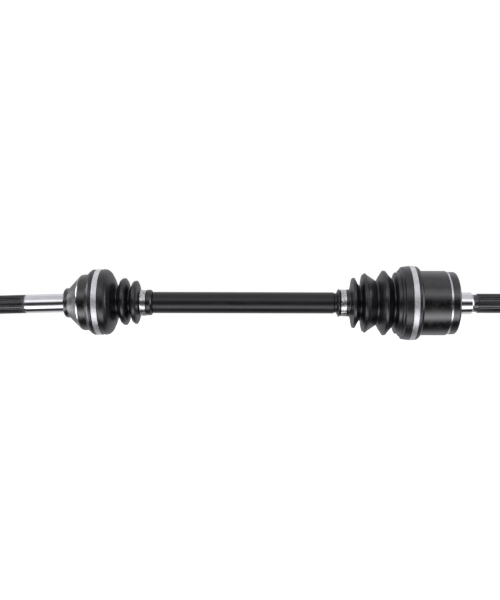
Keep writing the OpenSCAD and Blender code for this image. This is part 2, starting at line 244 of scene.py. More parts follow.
def thread_rows(x0, x1, major, pitch, angles, look, steps=6):
    """Rows of a single-start thread: a ridge whose phase turns once round the shaft, with a chamfer at x0."""
    depth = 0.6 * pitch
    fade_mm, chamfer_mm, chamfer_depth = 1.5, 1.4, 1.0
    rows = []
    count = round((x1 - x0) / pitch * steps)
    for k in range(count + 1):
        x = x0 + (x1 - x0) * k / count
        fade = max(0, min(1, (x - x0) / fade_mm, (x1 - x) / fade_mm))
        bevel = chamfer_depth * max(0, 1 - (x - x0) / chamfer_mm)
        radii = []
        for angle in angles:
            phase = (x / pitch - angle / (2 * math.pi)) % 1
            radii.append(major - depth * fade * abs(2 * phase - 1) - bevel)
        rows.append((x, radii, look))
    return rows


def groove_tool(name, points, radius, columns=28):
    """A closed tube along points, in millimetres, that stands for the cutter of a ball track."""
    verts, faces = [], []
    count = len(points)
    for k, point in enumerate(points):
        ahead = points[min(k + 1, count - 1)] - points[max(k - 1, 0)]
        side = Vector((0, 0, 1))
        up = ahead.cross(side).normalized()
        for c in range(columns):
            angle = 2 * math.pi * c / columns
            verts.append((point + (up * math.cos(angle) + side * math.sin(angle)) * radius) * MM)
    for k in range(count - 1):
        for c in range(columns):
            d = (c + 1) % columns
            faces.append([k * columns + c, k * columns + d, (k + 1) * columns + d, (k + 1) * columns + c])
    faces.append(list(range(columns)))
    faces.append(list(range((count - 1) * columns, count * columns)))
    return finish_mesh(name, [tuple(v) for v in verts], faces, [0] * len(faces), [])


def cut_tracks(piece, tool):
    """Cuts the tool out of the piece six times around X, and removes the tool."""
    for k in range(BALLS):
        copy = bpy.data.objects.new(f"{tool.name}_{k}", tool.data)
        bpy.context.scene.collection.objects.link(copy)
        copy.matrix_world = piece.matrix_world @ Matrix.Rotation(2 * math.pi * k / BALLS, 4, "X")
        cut = piece.modifiers.new(f"track_{k}", "BOOLEAN")
        cut.operation = "DIFFERENCE"
        cut.solver = "MANIFOLD"
        cut.object = copy
    bpy.context.view_layer.update()
    cut_mesh = bpy.data.meshes.new_from_object(piece.evaluated_get(bpy.context.evaluated_depsgraph_get()))
    piece.modifiers.clear()
    piece.data = cut_mesh
    for k in range(BALLS):
        bpy.data.objects.remove(bpy.data.objects[f"{tool.name}_{k}"])
    bpy.data.objects.remove(tool)
    face_outwards(piece.data)


def strip(name, path, x0, x1, thickness, looks, place=AT_ORIGIN):
    """A band of sheet metal from x0 to x1 whose middle follows a path of (y, z) points, with eased edges."""
    ease = min(0.25, thickness / 3)
    half = thickness / 2
    section = [(x0, -half + ease), (x0 + ease, -half), (x1 - ease, -half), (x1, -half + ease),
               (x1, half - ease), (x1 - ease, half), (x0 + ease, half), (x0, half - ease)]
    verts, faces = [], []
    count, width = len(path), len(section)
    for k, (y, z) in enumerate(path):
        ahead = Vector(path[min(k + 1, count - 1)]) - Vector(path[max(k - 1, 0)])
        out = Vector((ahead.y, -ahead.x)).normalized()
        for x, lift in section:
            verts.append((x * MM, (y + out.x * lift) * MM, (z + out.y * lift) * MM))
    for k in range(count - 1):
        for c in range(width):
            d = (c + 1) % width
            faces.append([k * width + c, k * width + d, (k + 1) * width + d, (k + 1) * width + c])
    faces.append(list(range(width)))
    faces.append(list(range((count - 1) * width, count * width)))
    piece = finish_mesh(name, verts, faces, [0] * len(faces), looks)
    piece.matrix_world = place
    return piece


# ---- Materials ----

# Metres of pattern to each radian round the shaft.
USUAL_RADIUS = 0.03


class Look:
    """A procedural material, built up one layer at a time on object coordinates in metres."""

    def __init__(self, name, colour, roughness, metallic=0.0, **sockets):
        """Further sockets are named with underscores for spaces."""
        self.material = bpy.data.materials.new(name)
        self.material.use_nodes = True
        self.tree = self.material.node_tree
        self.shader = self.tree.nodes["Principled BSDF"]
        self.shader.inputs["Base Color"].default_value = (*colour, 1)
        self.shader.inputs["Roughness"].default_value = roughness
        self.shader.inputs["Metallic"].default_value = metallic
        for socket, value in sockets.items():
            self.shader.inputs[socket.replace("_", " ")].default_value = value
        self.place = self.node("ShaderNodeTexCoord").outputs["Object"]

    def node(self, kind, **settings):
        made = self.tree.nodes.new(kind)
        for name, value in settings.items():
            setattr(made, name, value)
        return made

    def feed(self, socket, value):
        if isinstance(value, (int, float)):
            socket.default_value = value
        else:
            self.tree.links.new(value, socket)

    def maths(self, operation, a, b=0.0):
        made = self.node("ShaderNodeMath", operation=operation)
        self.feed(made.inputs[0], a)
        self.feed(made.inputs[1], b)
        return made.outputs[0]

    def noise(self, size_mm, detail, stretch=(1, 1, 1), source=None):
        """Noise whose features are about size_mm across, drawn out where stretch is above 1."""
        spread = self.node("ShaderNodeMapping")
        self.feed(spread.inputs["Vector"], source or self.place)
        spread.inputs["Scale"].default_value = [1 / (size_mm * MM * s) for s in stretch]
        made = self.node("ShaderNodeTexNoise")
        made.inputs["Scale"].default_value = 1.0
        made.inputs["Detail"].default_value = detail
        made.inputs["Roughness"].default_value = 0.55
        self.tree.links.new(spread.outputs[0], made.inputs["Vector"])
        return made.outputs["Fac"]

    def around(self):
        """Coordinates (x, length round the axis, radius), so a pattern can run along or round a shaft."""
        parts = self.node("ShaderNodeSeparateXYZ")
        self.tree.links.new(self.place, parts.inputs[0])
        angle = self.maths("ARCTAN2", parts.outputs["Z"], parts.outputs["Y"])
        squares = [self.maths("MULTIPLY", parts.outputs[axis], parts.outputs[axis]) for axis in ("Y", "Z")]
        radius = self.maths("SQRT", self.maths("ADD", *squares))
        joined = self.node("ShaderNodeCombineXYZ")
        self.feed(joined.inputs["X"], parts.outputs["X"])
        self.feed(joined.inputs["Y"], self.maths("MULTIPLY", angle, USUAL_RADIUS))
        self.feed(joined.inputs["Z"], radius)
        return joined.outputs[0]

    def span(self, value, low, high, to_low, to_high):
        """The value, moved from the range low to high into the range to_low to to_high and kept inside it."""
        made = self.node("ShaderNodeMapRange", clamp=True)
        for socket, number in zip(made.inputs[1:5], (low, high, to_low, to_high)):
            socket.default_value = number
        self.tree.links.new(value, made.inputs[0])
        return made.outputs[0]

    def mix(self, share, a, b):
        """Colour a where share is 0 and colour b where it is 1."""
        made = self.node("ShaderNodeMix", data_type="RGBA")
        self.feed(made.inputs["Factor"], share)
        for socket, value in ((made.inputs[6], a), (made.inputs[7], b)):
            if isinstance(value, tuple):
                socket.default_value = (*value, 1)
            else:
                self.tree.links.new(value, socket)
        return made.outputs[2]

    def colour(self, value):
        self.tree.links.new(value, self.shader.inputs["Base Color"])

    def roughness(self, value):
        self.tree.links.new(value, self.shader.inputs["Roughness"])

    def add_bump(self, height, depth_mm, strength):
        """Relief of depth_mm, on top of any relief that is there already."""
        made = self.node("ShaderNodeBump")
        made.inputs["Distance"].default_value = depth_mm * MM
        made.inputs["Strength"].default_value = strength
        self.tree.links.new(height, made.inputs["Height"])
        before = self.shader.inputs["Normal"]
        if before.is_linked:
            self.tree.links.new(before.links[0].from_socket, made.inputs["Normal"])
        self.tree.links.new(made.outputs[0], before)


def bar_paint():
    """Satin black paint over a rolled bar: fine peel, faint mottling and long draw lines."""
    look = Look("bar_black_paint", (0.006, 0.006, 0.007), 0.34, Specular_IOR_Level=0.55)
    mottle = look.noise(12, 4, (4, 1, 1))
    fine = look.noise(0.9, 3)
    look.colour(look.mix(look.span(mottle, 0.35, 0.7, 0, 1), (0.004, 0.004, 0.005), (0.010, 0.010, 0.012)))
    uneven = look.maths("ADD", mottle, look.maths("MULTIPLY", fine, 0.5))
    look.roughness(look.span(uneven, 0.5, 1.0, 0.26, 0.42))
    look.add_bump(fine, 0.012, 0.7)
    look.add_bump(look.noise(4, 3, (7, 1, 1)), 0.05, 0.6)
    return look.material


def forged_paint():
    """Satin black paint over a turned forging: broad blotches, fine grain and turning marks."""
    look = Look("forging_black_satin", (0.008, 0.008, 0.009), 0.27, Specular_IOR_Level=1.0)
    blotch = look.noise(7, 5)
    grain = look.noise(0.6, 3)
    turned_marks = look.noise(0.35, 2, (1, 90, 60), source=look.around())
    look.colour(look.mix(look.span(blotch, 0.38, 0.68, 0, 1), (0.003, 0.003, 0.004), (0.013, 0.012, 0.012)))
    uneven = look.maths("ADD", blotch, look.maths("MULTIPLY", grain, 0.4))
    look.roughness(look.span(uneven, 0.5, 0.9, 0.14, 0.3))
    look.add_bump(turned_marks, 0.008, 0.6)
    look.add_bump(grain, 0.012, 0.7)
    look.add_bump(look.noise(3, 3), 0.02, 0.5)
    return look.material


def machined_dark():
    """A finely turned cone under dark phosphate: rings of tool marks that catch the light."""
    look = Look("forging_turned_dark", (0.2, 0.2, 0.205), 0.4, 0.85)
    lines = look.noise(0.3, 3, (1, 140, 100), source=look.around())
    specks = look.noise(0.8, 3)
    look.colour(look.mix(look.span(lines, 0.35, 0.7, 0, 1), (0.1, 0.1, 0.105), (0.3, 0.3, 0.305)))
    look.roughness(look.span(specks, 0.3, 0.7, 0.3, 0.48))
    look.add_bump(lines, 0.02, 0.8)
    look.add_bump(specks, 0.012, 0.6)
    return look.material


def ground_steel():
    """A ground journal: near mirror, with hair-fine grinding lines round the shaft."""
    look = Look("steel_ground_journal", (0.78, 0.78, 0.8), 0.13, 1.0)
    lines = look.noise(0.12, 2, (1, 260, 200), source=look.around())
    haze = look.noise(6, 3, (2, 1, 1))
    look.colour(look.mix(look.span(haze, 0.35, 0.7, 0, 1), (0.76, 0.76, 0.785), (0.86, 0.86, 0.88)))
    look.roughness(look.span(look.maths("ADD", lines, haze), 0.75, 1.25, 0.07, 0.17))
    look.add_bump(lines, 0.0012, 0.6)
    return look.material


def bright_edge():
    """A bare turned edge: bright steel with fine tool lines."""
    look = Look("steel_turned_edge", (0.75, 0.75, 0.77), 0.18, 1.0)
    lines = look.noise(0.2, 2, (1, 150, 100), source=look.around())
    look.colour(look.mix(look.span(lines, 0.35, 0.65, 0, 1), (0.62, 0.61, 0.64), (0.82, 0.82, 0.84)))
    look.roughness(look.span(lines, 0.3, 0.7, 0.12, 0.24))
    look.add_bump(lines, 0.004, 0.6)
    return look.material


def spline_oil():
    """Rolled and oiled spline teeth: black oxide, brighter along the flanks where the hob has rubbed."""
    look = Look("steel_spline_dark", (0.02, 0.02, 0.022), 0.3, Specular_IOR_Level=1.0)
    rubbed = look.noise(0.5, 3, (60, 1, 1))
    patch = look.noise(9, 3, (4, 1, 1))
    streaks, patches = look.span(rubbed, 0.45, 0.7, 0, 1), look.span(patch, 0.35, 0.65, 0.3, 1)
    worn = look.maths("MULTIPLY", streaks, patches)
    look.colour(look.mix(worn, (0.010, 0.010, 0.012), (0.075, 0.075, 0.082)))
    look.roughness(look.span(patch, 0.3, 0.7, 0.2, 0.34))
    look.add_bump(rubbed, 0.01, 0.5)
    return look.material


def rubber():
    """Moulded rubber: satin black with a fine grain, faint bloom and a little dust."""
    look = Look("boot_rubber_black", (0.005, 0.005, 0.006), 0.32, Specular_IOR_Level=0.8)
    bloom = look.noise(9, 4)
    grain = look.noise(0.5, 3)
    dust = look.noise(1.1, 2)
    bloomed = look.span(bloom, 0.35, 0.7, 0, 1)
    base = look.mix(bloomed, (0.003, 0.003, 0.004), (0.008, 0.008, 0.0095))
    look.colour(look.mix(look.span(dust, 0.7, 0.8, 0, 0.5), base, (0.04, 0.04, 0.043)))
    uneven = look.maths("ADD", bloom, look.maths("MULTIPLY", grain, 0.5))
    look.roughness(look.span(uneven, 0.5, 1.0, 0.24, 0.38))
    look.add_bump(grain, 0.016, 0.8)
    look.add_bump(look.noise(3.2, 3), 0.04, 0.5)
    return look.material


def clamp_steel(name, colours, roughness, mottle_mm):
    """Stainless strip: rolled lines round the band, smudges, and a soft satin sheen."""
    look = Look(name, colours[1], roughness[0], 1.0)
    lines = look.noise(0.22, 3, (1, 120, 60), source=look.around())
    smudge = look.noise(mottle_mm, 4)
    look.colour(look.mix(look.span(smudge, 0.35, 0.68, 0, 1), *colours))
    look.roughness(look.span(look.maths("ADD", lines, smudge), 0.7, 1.3, *roughness))
    look.add_bump(lines, 0.004, 0.7)
    look.add_bump(look.noise(1.4, 3), 0.02, 0.6)
    return look.material


def bearing_steel():
    """Hardened and ground bearing steel with faint wear and a film of grease."""
    look = Look("bearing_steel_ground", (0.6, 0.6, 0.62), 0.18, 1.0)
    haze = look.noise(3, 4)
    look.colour(look.mix(look.span(haze, 0.35, 0.7, 0, 1), (0.52, 0.51, 0.5), (0.7, 0.7, 0.72)))
    look.roughness(look.span(look.noise(0.4, 3), 0.3, 0.7, 0.1, 0.28))
    look.add_bump(look.noise(0.2, 2), 0.002, 0.6)
    return look.material


def cage_steel():
    """Case-hardened cage steel: mid grey, with darker heat tint and a fine ground grain."""
    look = Look("cage_steel_grey", (0.3, 0.3, 0.31), 0.34, 1.0)
    tint = look.noise(5, 3)
    look.colour(look.mix(look.span(tint, 0.35, 0.7, 0, 1), (0.2, 0.19, 0.19), (0.4, 0.4, 0.41)))
    look.roughness(look.span(look.noise(0.6, 3), 0.3, 0.7, 0.26, 0.44))
    look.add_bump(look.noise(0.25, 2, (1, 60, 40), source=look.around()), 0.006, 0.7)
    return look.material


def spring_steel():
    """Blued spring wire and strip."""
    look = Look("spring_steel_blued", (0.09, 0.09, 0.1), 0.3, 1.0)
    tint = look.noise(1.5, 3)
    look.colour(look.mix(look.span(tint, 0.35, 0.7, 0, 1), (0.06, 0.06, 0.075), (0.16, 0.15, 0.15)))
    look.roughness(look.span(tint, 0.3, 0.7, 0.22, 0.4))
    look.add_bump(look.noise(0.3, 2), 0.004, 0.6)
    return look.material


BAR = bar_paint()
FORGED = forged_paint()
TURNED = machined_dark()
GROUND = ground_steel()
EDGE = bright_edge()
SPLINE = spline_oil()
RUBBER = rubber()
CLAMP = clamp_steel("clamp_stainless_strip", ((0.72, 0.72, 0.74), (0.88, 0.88, 0.89)), (0.42, 0.56),
                    mottle_mm=3.5)
SMALL_CLAMP = clamp_steel("clamp_stainless_small", ((0.32, 0.32, 0.33), (0.9, 0.9, 0.9)), (0.2, 0.4),
                          mottle_mm=2.2)
BEARING = bearing_steel()
CAGE = cage_steel()
SPRING = spring_steel()


def dress_cad_nodes():
    """Gives every CAD solid that stays in sight its procedural material."""
    for name, node in frame["nodes"].items():
        if "clamp" in name:
            look = CLAMP if name.endswith("large") else SMALL_CLAMP
        elif "boot" in name:
            look = RUBBER
        elif name.endswith("cup"):
            look = FORGED
        elif "cage" in name:
            look = CAGE
        elif "circlip" in name or "retaining" in name:
            look = SPRING
        elif name == "shaft_bar":
            look = BAR
        else:
            look = BEARING
        for slot in node.material_slots:
            slot.material = look


# ---- Wheel-end cup: x from the joint centre, along the cup's own axis ----

OUT_RIM_FACE = -32
OUT_JOURNAL_R = dim("hub_bearing_journal", "r_mm")
OUT_SPLINE_END = OUT_RIM_FACE - dim("hub_bearing_journal", "length_mm")
OUT_SPLINE_START = OUT_SPLINE_END - 50
OUT_SPLINE_ROOT = 9.9
OUT_TEETH = 27
OUT_THREAD_R = dim("hub_nut_thread", "r_mm")
OUT_THREAD_END = OUT_SPLINE_START - 2
OUT_THREAD_PITCH = 1.5
OUT_UNDERCUT_R = 8.8
OUT_END_X = -152.4
OUT_RIM_R = 17.7
OUT_BELL_R = 33.5
OUT_SEAT_R = 35.5
OUT_BORE_R = 26.2
OUT_FLOOR = -19.4
OUT_MOUTH = 12.0
OUT_THROAT = 8.2
OUT_CLAMP_X = 9.6
OUT_GROOVE_DEPTH = 0.8
# Degrees that the large clamp leans on the cup.
CLAMP_LEAN = 0.8
# How far the stub reaches into the bell's rim.
STUB_OVERLAP = 0.5
# The ball tracks: radius of the balls' ring, how much nearer the axis the cutter runs, the room round a ball,
# and the degrees of track behind and before the centre.
OUT_PITCH_R = 22.6
OUT_RELIEF = 0.8
TRACK_GAP = 0.3
OUT_TRACK_BACK = 35.6
OUT_TRACK_FRONT = 40


def wheel_end_stub(looks, angles, heights):
    """Rows of the stub, from its end to just inside the rim: thread, undercut, spline, groove and journal."""
    _, _, edge, ground, spline = range(len(looks))
    rows = [(OUT_END_X, 0, edge), (OUT_END_X, 4.2, edge)]
    rows += thread_rows(OUT_END_X, OUT_THREAD_END, OUT_THREAD_R, OUT_THREAD_PITCH, angles, spline)
    undercut = outline([(OUT_THREAD_END, OUT_THREAD_R), (OUT_THREAD_END + 0.3, OUT_UNDERCUT_R, 0.4),
                        (OUT_SPLINE_START - 0.4, OUT_UNDERCUT_R, 0.6), (OUT_SPLINE_START, 9.3)])
    rows += rows_of(undercut[1:], spline)
    rows += spline_rows(OUT_SPLINE_START, OUT_SPLINE_END - 0.8, OUT_JOURNAL_R, OUT_SPLINE_ROOT, heights,
                        spline, chamfer=1.1, run_out=9)
    groove = [(-0.7, 0.05), (-0.3, 0.35), (0.2, 0.35), (0.7, 0, 0.3)]
    rows += rows_of(outline([(OUT_SPLINE_END + x, OUT_JOURNAL_R - depth, *rounding)
                             for x, depth, *rounding in groove]), edge)
    root = OUT_RIM_FACE + STUB_OVERLAP
    rows += rows_of([(OUT_SPLINE_END + 1.1, OUT_JOURNAL_R), (-60, OUT_JOURNAL_R),
                     (OUT_RIM_FACE - 0.9, OUT_JOURNAL_R), (OUT_RIM_FACE - 0.6, OUT_JOURNAL_R - 0.3),
                     (root, OUT_JOURNAL_R - 0.3), (root, 0)], ground)
    return rows


def wheel_end_bell(looks):
    """Rows of the bell, from the rim over the machined cone to the mouth and back in along the round bore."""
    forged, cone, edge, _, _ = range(len(looks))
    rows = [(OUT_RIM_FACE, 0, forged)]
    rows += rows_of(outline([(OUT_RIM_FACE, OUT_JOURNAL_R), (OUT_RIM_FACE, OUT_RIM_R, 4.3),
                             (-26.6, OUT_RIM_R)]), forged)
    rows += rows_of(outline([(-26.4, 17.8), (-13.3, 31.2)]), cone)
    rows += rows_of(outline([(-13.1, 31.4), (-12.3, 32.1)]), edge)
    seat_low, seat_high = OUT_CLAMP_X - 1.8, OUT_CLAMP_X + 1.8
    groove_low, groove_high = OUT_CLAMP_X - 1.5, OUT_CLAMP_X + 1.5
    groove_r = OUT_SEAT_R - OUT_GROOVE_DEPTH
    rows += rows_of(outline([(-12.1, 32.15), (-10.9, 33.1, 1.2), (-9, OUT_BELL_R, 3),
                             (-0.8, OUT_BELL_R, 0.3), (-0.8, OUT_SEAT_R, 0.3), (seat_low, OUT_SEAT_R, 0.2),
                             (groove_low, groove_r, 0.2), (groove_high, groove_r, 0.2),
                             (seat_high, OUT_SEAT_R, 0.2),
                             (OUT_MOUTH, 35.3, 0.5), (OUT_MOUTH, 30.2, 0.5), (OUT_THROAT, 25.2)]), forged)
    start = math.acos(OUT_THROAT / OUT_BORE_R)
    stop = math.acos(OUT_FLOOR / OUT_BORE_R)
    steps = 18
    bore = [start + (stop - start) * k / steps for k in range(1, steps + 1)]
    rows += [(OUT_BORE_R * math.cos(a), OUT_BORE_R * math.sin(a), edge) for a in bore]
    rows += [(OUT_FLOOR, 0, edge)]
    return rows


def wheel_end_cup():
    """The stub and the bell, with six ball tracks cut into the bell's bore."""
    angles, heights = tooth_columns(OUT_TEETH)
    looks = [FORGED, TURNED, EDGE, GROUND, SPLINE]
    rows = wheel_end_stub(looks, angles, heights)
    stub = turned("outboard_stub_detail", rows, looks, angles=angles, place=ON_OUT_CUP)
    cup = turned("outboard_cup_detail", wheel_end_bell(looks), looks, angles=angles, place=ON_OUT_CUP)
    centre_r = OUT_PITCH_R - OUT_RELIEF
    reach = OUT_TRACK_BACK + OUT_TRACK_FRONT
    steps = 24
    swing = [math.radians(90 - OUT_TRACK_FRONT + reach * k / steps) for k in range(steps + 1)]
    path = [Vector((centre_r * math.cos(a), centre_r * math.sin(a), 0)) for a in swing]
    cut_tracks(cup, groove_tool("track_tool", path, BALL_R + TRACK_GAP + OUT_RELIEF))
    for piece in (stub, cup):
        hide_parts("outboard_cup")
        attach(piece, "outboard_cup")


# ---- Gearbox-end cup: x from the middle of the bar ----

IN_MOUTH = BAR_HALF + 78.9
IN_FLOOR = BAR_HALF + 137.4
IN_CUP_END = MOUNTS["gearbox_shoulder"]["pos_m"][0] / MM
IN_JOURNAL_R = dim("gearbox_seal_journal", "r_mm")
IN_JOURNAL_END = IN_CUP_END + dim("gearbox_seal_journal", "length_mm")
IN_SPLINE_START = IN_JOURNAL_END + 7
IN_SPLINE_END = IN_SPLINE_START + 41
IN_SPLINE_R = dim("gearbox_spline", "r_mm")
IN_SPLINE_ROOT = 10.3
IN_TEETH = 24
IN_CLAMP_X = BAR_HALF + 91.2
IN_CUP_R = 38.7
IN_BORE_R = 29.6
# Radius of the closed end, past the machined groove, and of the groove's floor.
IN_END_R = 37.5
IN_GROOVE_R = 36.9
IN_TRACK_R = 26.9
IN_TRACK_RELIEF = 0.3
# The retaining ring's groove in the bore: its place and the radius of its round section.
IN_RING_X = IN_MOUTH + 3
IN_RING_GROOVE_R = 1.1


def gearbox_end_bell(looks):
    """Rows of the cup, from the middle of its floor along the bore, over the mouth and back outside."""
    forged, _, edge, _, _ = range(len(looks))
    rows = rows_of([(IN_FLOOR, 0), (IN_FLOOR, 10), (IN_FLOOR, IN_BORE_R - 1),
                    (IN_FLOOR - 0.3, IN_BORE_R - 0.3), (IN_FLOOR - 1, IN_BORE_R)], edge)
    for degrees in range(0, 181, 15):
        along, up = math.cos(math.radians(degrees)), math.sin(math.radians(degrees))
        rows.append((IN_RING_X + IN_RING_GROOVE_R * along, IN_BORE_R + 0.1 + IN_RING_GROOVE_R * up, edge))
    seat_low, seat_high = IN_CLAMP_X - 1.6, IN_CLAMP_X + 1.6
    groove_low, groove_high = IN_CLAMP_X - 1.4, IN_CLAMP_X + 1.4
    rows += rows_of(outline([(IN_MOUTH + 1.6, IN_BORE_R), (IN_MOUTH + 1.2, 32, 0.3), (IN_MOUTH, 33.2, 0.3),
                             (IN_MOUTH, IN_CUP_R, 1), (seat_low, IN_CUP_R, 0.2),
                             (groove_low, IN_CUP_R - 0.8, 0.2), (groove_high, IN_CUP_R - 0.8, 0.2),
                             (seat_high, IN_CUP_R, 0.2), (IN_CUP_END - 12.3, IN_CUP_R, 0.35),
                             (IN_CUP_END - 11.6, IN_CUP_R - 0.9)]), forged)
    rows += rows_of(outline([(IN_CUP_END - 11.5, IN_CUP_R - 1.1), (IN_CUP_END - 11.2, IN_GROOVE_R, 0.25),
                             (IN_CUP_END - 10, IN_GROOVE_R, 0.2), (IN_CUP_END - 9.8, 37.1)]), edge)
    rows += rows_of(outline([(IN_CUP_END - 9.5, IN_END_R, 0.2), (IN_CUP_END, IN_END_R, 3),
                             (IN_CUP_END, 14.6, 0.4), (IN_CUP_END - 0.5, 13.8, 0.3),
                             (IN_CUP_END - 0.5, 12.6)]), forged)
    return rows


def gearbox_end_stub(looks, heights):
    """Rows of the stub, from the cup's end: journal, neck, spline with its ring groove, and end face."""
    _, _, edge, ground, spline = range(len(looks))
    rows = rows_of([(IN_CUP_END - 0.4, IN_JOURNAL_R), (IN_CUP_END + 8, IN_JOURNAL_R),
                    (IN_JOURNAL_END - 0.4, IN_JOURNAL_R)], ground)
    rows += rows_of([(IN_JOURNAL_END - 0.2, IN_JOURNAL_R - 0.05), (IN_JOURNAL_END + 2.0, 10.5)], edge)
    rows += rows_of([(IN_JOURNAL_END + 2.3, IN_SPLINE_ROOT), (IN_SPLINE_START - 0.4, IN_SPLINE_ROOT)], spline)
    rows += spline_rows(IN_SPLINE_START, IN_SPLINE_END - 7.2, IN_SPLINE_R, IN_SPLINE_ROOT, heights, spline,
                        chamfer=1.1)[:3]
    clip_x, clip_half, clip_r = IN_SPLINE_END - 6, 1, 10.0
    teeth = [IN_SPLINE_ROOT + (IN_SPLINE_R - IN_SPLINE_ROOT) * h for h in heights]
    rows += rows_of([(clip_x - clip_half - 0.05, teeth), (clip_x - clip_half, clip_r),
                     (clip_x + clip_half, clip_r), (clip_x + clip_half + 0.05, teeth),
                     (IN_SPLINE_END - 1.4, teeth)], spline)
    rows += rows_of([(IN_SPLINE_END, 10.1), (IN_SPLINE_END, 3.4), (IN_SPLINE_END - 1.6, 1.6),
                     (IN_SPLINE_END - 1.6, 0)], edge)
    return rows


def gearbox_end_cup():
    """The cup and its stub as one turned piece, with six straight ball tracks cut into the bore."""
    angles, heights = tooth_columns(IN_TEETH)
    looks = [FORGED, TURNED, EDGE, GROUND, SPLINE]
    rows = gearbox_end_bell(looks) + gearbox_end_stub(looks, heights)
    cup = turned("inboard_cup_detail", rows, looks, angles=angles)
    path = [Vector((x, IN_TRACK_R, 0)) for x in (IN_MOUTH - 1, IN_FLOOR - 2.5)]
    cut_tracks(cup, groove_tool("straight_track_tool", path, BALL_R + TRACK_GAP + IN_TRACK_RELIEF))
    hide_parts("inboard_cup")
    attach(cup, "inboard_cup")


# ---- Boots ----

# Outlines of (x, radius, rounding), from the joint's centre towards the bar.
OUT_BOOT_OUTER = [(-2, 34.3), (-2, 35.4, 0.4), (0.8, 38.0, 0.8), (2.6, 39.15, 0.8), (5.0, 39.15, 0.4),
                  (5.9, 38.3, 0.25), (13.3, 38.3, 0.25), (14.2, 39.0, 0.6), (16.4, 39.45, 4),
                  (19.7, 38.7, 0.8), (22.8, 36.2, 5), (26.2, 29.7, 8), (29.8, 20.8, 1.6), (31.4, 19.4, 1.2),
                  (33.3, 20.4, 1.0), (35.4, 26.0, 1.4), (38.1, 28.1, 0.5), (40.9, 28.1, 0.5),
                  (42.7, 25.4, 1.2), (44.9, 16.9, 0.9), (46.2, 16.9, 0.8), (49.2, 24.2, 1.4),
                  (51.7, 25.95, 0.5), (54.0, 25.95, 0.5), (55.3, 23.4, 1.0), (57, 14.6, 1), (57.9, 13.9, 0.3),
                  (65.0, 13.9, 0.2), (65.8, 15.2, 0.5), (70.3, 15.3, 0.8), (72, 13.6, 0.6), (72, 12.3)]
OUT_BOOT_INNER = [(-2, 33.7), (-0.9, 33.7), (-0.7, 35.6), (OUT_CLAMP_X - 1.5, 35.6),
                  (OUT_CLAMP_X - 1.4, 34.8), (OUT_CLAMP_X + 1.4, 34.8), (OUT_CLAMP_X + 1.5, 35.6),
                  (12.4, 35.6), (13, 36.0), (16, 36.6, 3), (20.4, 35.2, 3), (24.4, 26.6, 4), (26.6, 20.8, 2),
                  (30.1, 16.8, 1), (33.6, 17.2, 1), (37.2, 25.0, 2), (40.8, 25.0, 2), (44.6, 14.8, 1),
                  (46.6, 14.8, 1), (50.4, 22.8, 1.5), (53.2, 22.6, 1.5), (55.2, 14), (56.2, 11.8), (72, 11.8)]

# The same, from the bar's shoulder outwards.
IN_BOOT_OUTER = [(2.8, 12.3), (2.8, 12.8, 0.3), (5.0, 17.1, 0.8), (6.6, 15.7, 0.5), (7.2, 15, 0.2),
                 (14.2, 15, 0.2), (15, 16.2, 0.4), (18.2, 16.3, 0.9), (19.8, 22.0, 2), (21.3, 29.8, 0.6),
                 (24.0, 30.4, 0.5), (27.4, 23.8, 3), (29.9, 20.6, 1.5), (31.6, 22.4, 1.6), (33.7, 34.2, 0.6),
                 (36.4, 35.9, 0.5), (38.6, 33.8, 1.6), (47.2, 28.1, 6), (50.1, 26.1, 1.6), (52.2, 29.4, 3),
                 (56.3, 37.6, 0.9), (57.8, 38.9, 0.5), (60.2, 38.7, 0.5), (63.4, 34.6, 3), (68.6, 28.8, 1.4),
                 (70, 29.4, 0.8), (72.4, 36.8, 0.6), (75.9, 36.9, 0.5), (76.9, 39.7, 0.5), (78.6, 40.3, 0.5),
                 (79.8, 43.2, 0.7), (84.6, 44.0, 0.6), (87.2, 44.1, 0.4), (88, 43.7, 0.2), (94.4, 43.7, 0.2),
                 (95.2, 44.1, 0.5), (97.8, 43.9, 2), (100.4, 41.4, 1.4), (100.4, 39.4)]
IN_BOOT_INNER = [(2.8, 11.8), (17, 11.8), (19.6, 14), (21.8, 20, 2), (23.2, 27.6, 1), (24.2, 27.6, 1),
                 (28.4, 18.6, 1), (32, 19, 1), (35.2, 32.4, 1.5), (37, 31.8, 1.5), (48, 24.2, 1),
                 (52, 24.4, 1), (57.6, 35.6, 2), (60, 35.6, 2), (68, 27.0, 1), (70.4, 27.2, 1),
                 (73.4, 34.4, 1), (75.6, 34.6, 1), (78.7, 37.8), (78.75, 38.8), (89.7, 38.8), (89.8, 38.0),
                 (92.6, 38.0), (92.7, 38.8), (100.4, 38.8)]

# The flank of the last fold lies on a ball round the joint centre, so it can slide over its lining: radii in
# millimetres, and the flank's inner edge and the lining's rim in degrees off the axis.
IN_VALLEY_X = 50.6
IN_LAST_FOLD_END = 63
IN_FLANK_R = 63.05
IN_FLANK_WALL = 0.8
IN_FLANK_EDGE = 21.5
IN_LINING_R = 62.0
IN_LINING_WALL = 1.5
IN_LINING_RIM = 29.5

